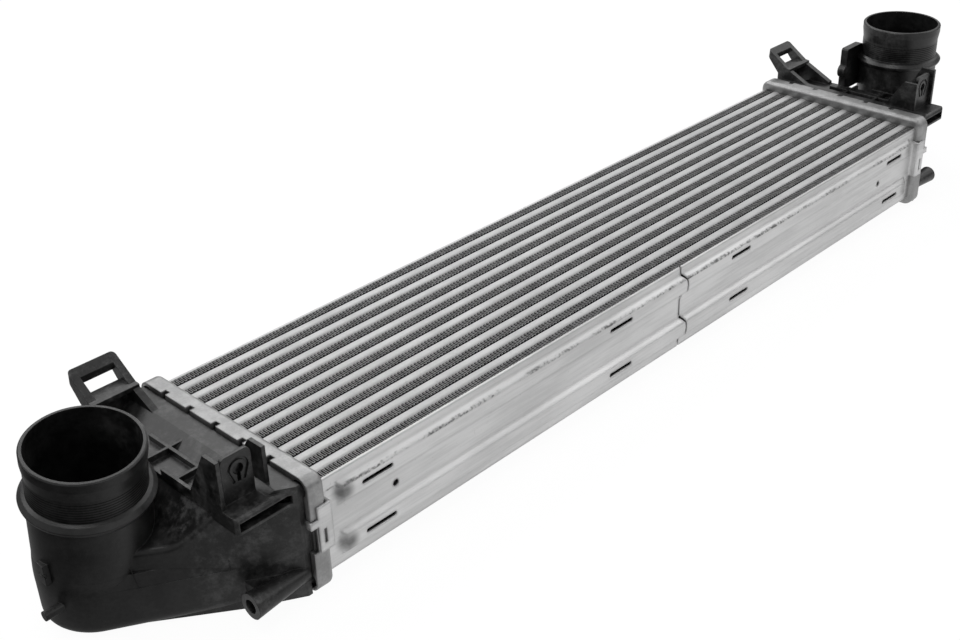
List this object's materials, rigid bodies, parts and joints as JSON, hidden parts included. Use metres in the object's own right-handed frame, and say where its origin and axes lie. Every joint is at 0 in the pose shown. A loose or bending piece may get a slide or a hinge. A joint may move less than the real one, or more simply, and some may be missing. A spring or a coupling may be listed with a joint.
{
  "type": "intercooler",
  "caption": "Air-to-air charge cooler: brazed tube-and-fin core, side plates, crimped headers, and a moulded end tank with an elbow and hose spigot at each end.",
  "frame": {"origin": "centre of the tube and fin core", "axes": "+X along the tubes, from the leaning spigot's end to the upright spigot's end; +Y across the stack of tubes, from the clip brackets' side to the arms' side; +Z through the core's depth, the way the spigots point"},
  "size_m": [0.9327, 0.1698, 0.1265],
  "materials": {
    "tube": "extruded, satin",
    "fin": "thin folded sheet, dull after brazing",
    "side_plate": "pressed sheet, satin, with flux residue",
    "header": "deep-drawn sheet, satin",
    "gasket": "matt",
    "tank": "black glass-filled polyamide, satin"
  },
  "bodies": {
    "root": {"tube_01": "tube", "tube_02": "tube", "tube_03": "tube", "tube_04": "tube", "tube_05": "tube", "tube_06": "tube", "tube_07": "tube", "tube_08": "tube", "tube_09": "tube", "tube_10": "tube", "turbulator_01": "fin", "turbulator_02": "fin", "turbulator_03": "fin", "turbulator_04": "fin", "turbulator_05": "fin", "turbulator_06": "fin", "turbulator_07": "fin", "turbulator_08": "fin", "turbulator_09": "fin", "turbulator_10": "fin", "fin_01": "fin", "fin_02": "fin", "fin_03": "fin", "fin_04": "fin", "fin_05": "fin", "fin_06": "fin", "fin_07": "fin", "fin_08": "fin", "fin_09": "fin", "fin_10": "fin", "fin_11": "fin", "front_side_plate": "side_plate", "rear_side_plate": "side_plate", "left_header": "header", "right_header": "header", "left_tank_gasket": "gasket", "right_tank_gasket": "gasket", "left_end_tank": "tank", "right_end_tank": "tank"}
  },
  "joints": []
}
